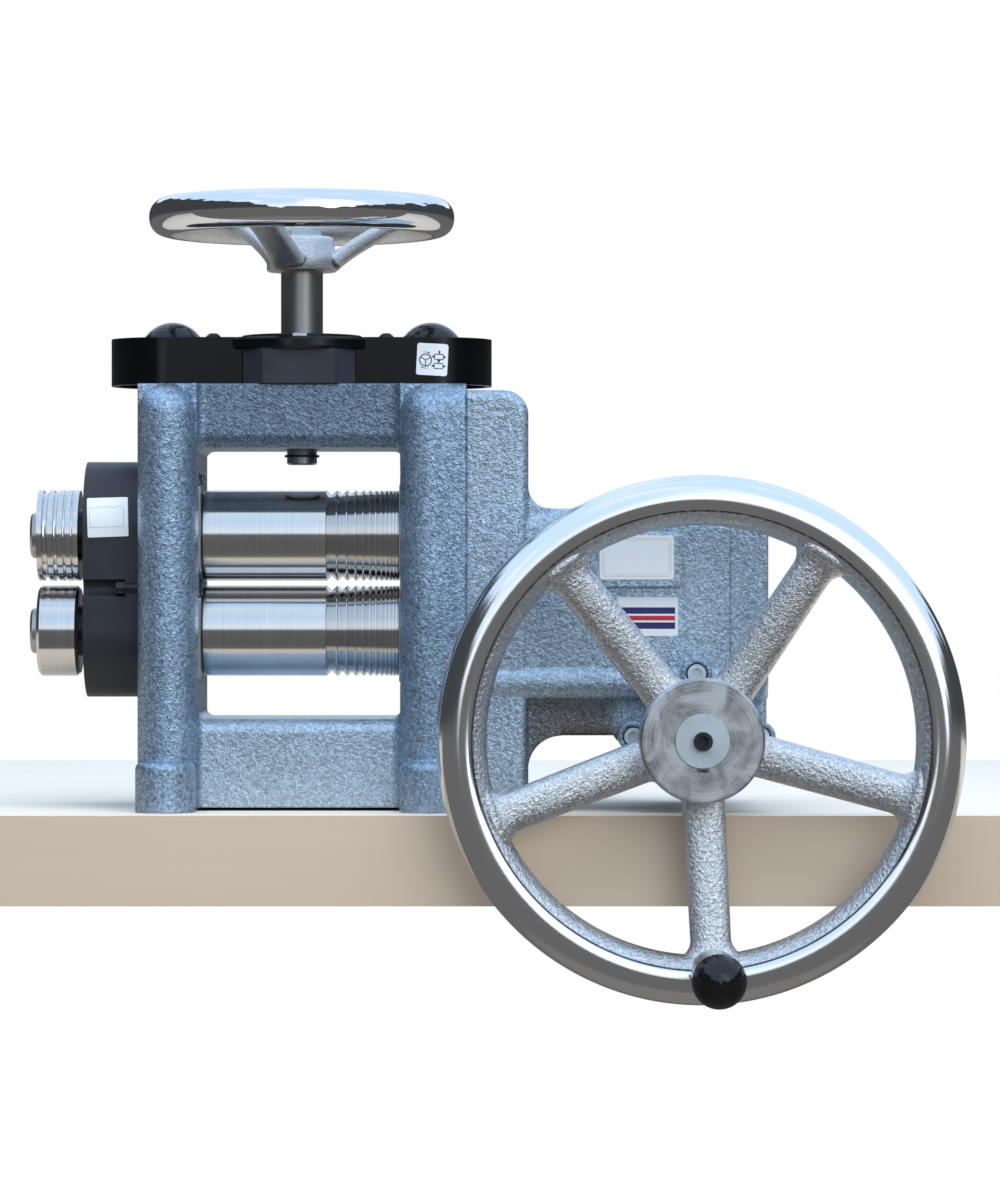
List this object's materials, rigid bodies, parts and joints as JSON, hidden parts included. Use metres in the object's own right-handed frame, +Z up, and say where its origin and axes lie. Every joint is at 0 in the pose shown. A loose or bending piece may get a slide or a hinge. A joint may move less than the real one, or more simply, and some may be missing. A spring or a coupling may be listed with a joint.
{
  "type": "jewellers rolling mill",
  "caption": "Bench rolling mill for sheet and wire: geared rolls in a cast frame, a top wheel sets the gap, a crank wheel drives them through a worm gearbox.",
  "frame": {"origin": "centre of the four base bolt holes, on the plane of the feet", "axes": "+X along the rolls towards the gearbox, +Y away from the crank wheel towards the back, +Z up"},
  "size_m": [0.6077, 0.3777, 0.5236],
  "materials": {
    "hammer_paint": "hammered metallic paint",
    "roll_steel": "ground and polished",
    "machined_steel": "turned",
    "dark_steel": "black oxide",
    "zinc_steel": "zinc plated",
    "wheel_casting": "silver painted casting with polished rim",
    "chrome_rim": "mirror polished",
    "satin_black": "satin moulded",
    "gloss_black": "polished",
    "bronze": "machined bronze"
  },
  "bodies": {
    "frame": {"main_frame": "hammer_paint", "gearbox_case": "hammer_paint", "gearbox_end_cover": "hammer_paint", "front_bearing_cap": "hammer_paint", "rear_bearing_cap": "hammer_paint", "lower_chock_left": "machined_steel", "lower_chock_right": "machined_steel", "lower_bushes": "bronze", "pressure_nuts": "bronze", "lift_springs": "dark_steel", "screw_caps": "gloss_black", "pinion_cover": "satin_black", "pinion_cover_screws": "dark_steel", "top_cover": "satin_black", "top_cover_screws": "dark_steel", "shaft_bush": "bronze", "end_cover_screws": "dark_steel", "gearbox_screws": "dark_steel", "bearing_cap_screws": "zinc_steel", "worm_bearings": "machined_steel", "output_bearings": "machined_steel"},
    "lower_roll": {"lower_roll": "roll_steel", "lower_pinion": "machined_steel", "lower_pinion_key": "machined_steel", "lower_extension_roll": "roll_steel", "lower_extension_collar": "dark_steel", "lower_end_cap": "machined_steel", "drive_coupling": "dark_steel", "output_shaft": "machined_steel", "worm_wheel": "bronze", "worm_wheel_key": "machined_steel"},
    "crank_wheel": {"worm_shaft": "machined_steel", "crank_handwheel": "wheel_casting", "crank_wheel_key": "machined_steel", "crank_washer": "zinc_steel", "crank_screw": "dark_steel", "handle_spindle": "zinc_steel"},
    "crank_grip": {"grip_sleeve": "roll_steel", "grip_cap": "satin_black"},
    "adjust_wheel": {"adjust_shaft": "machined_steel", "centre_gear": "machined_steel", "centre_gear_key": "machined_steel", "shaft_circlip": "dark_steel", "adjust_handwheel": "chrome_rim", "adjust_wheel_nut": "zinc_steel", "thrust_washer": "machined_steel"},
    "upper_carriage": {"upper_chock_left": "machined_steel", "upper_chock_right": "machined_steel", "upper_bushes": "bronze", "thrust_pads": "machined_steel"},
    "upper_roll": {"upper_roll": "roll_steel", "upper_pinion": "machined_steel", "upper_pinion_key": "machined_steel", "upper_extension_roll": "roll_steel", "upper_extension_collar": "dark_steel", "upper_end_cap": "machined_steel"},
    "screw_left": {"pressure_screw_left": "machined_steel", "screw_gear_left": "machined_steel"},
    "screw_right": {"pressure_screw_right": "machined_steel", "screw_gear_right": "machined_steel"}
  },
  "joints": [
    {"name": "lower_roll_spin", "type": "hinge", "parent": "frame", "child": "lower_roll", "pos_m": [0, 0, 0.1175], "axis": [1, 0, 0], "continuous": true},
    {"name": "crank_wheel_spin", "type": "hinge", "parent": "frame", "child": "crank_wheel", "pos_m": [0.2595, 0, 0.0495], "axis": [0, 1, 0], "continuous": true},
    {"name": "crank_grip_spin", "type": "hinge", "parent": "crank_wheel", "child": "crank_grip", "pos_m": [0.26633, -0.22, -0.09534], "axis": [0, 1, 0], "continuous": true},
    {"name": "adjust_turn", "type": "hinge", "parent": "frame", "child": "adjust_wheel", "pos_m": [0, 0, 0.3], "axis": [0, 0, 1], "range_deg": [-353, 353]},
    {"name": "carriage_slide", "type": "slide", "parent": "frame", "child": "upper_carriage", "axis": [0, 0, 1], "range_m": [-0.003, 0.003], "deforming": ["lift_springs"]},
    {"name": "upper_roll_spin", "type": "hinge", "parent": "upper_carriage", "child": "upper_roll", "pos_m": [0, 0, 0.1809], "axis": [1, 0, 0], "continuous": true},
    {"name": "screw_left_turn", "type": "hinge", "parent": "upper_carriage", "child": "screw_left", "pos_m": [-0.086, 0, 0.25], "axis": [0, 0, 1], "range_deg": [-541, 541]},
    {"name": "screw_right_turn", "type": "hinge", "parent": "upper_carriage", "child": "screw_right", "pos_m": [0.086, 0, 0.25], "axis": [0, 0, 1], "range_deg": [-541, 541]}
  ],
  "couplings": [
    {"joint": "crank_wheel_spin", "follows": "lower_roll_spin", "ratio": -50},
    {"joint": "upper_roll_spin", "follows": "lower_roll_spin", "ratio": -1},
    {"joint": "carriage_slide", "follows": "adjust_turn", "m_per_rad": 0.00048683},
    {"joint": "screw_left_turn", "follows": "adjust_turn", "ratio": -1.5294},
    {"joint": "screw_right_turn", "follows": "adjust_turn", "ratio": -1.5294}
  ]
}
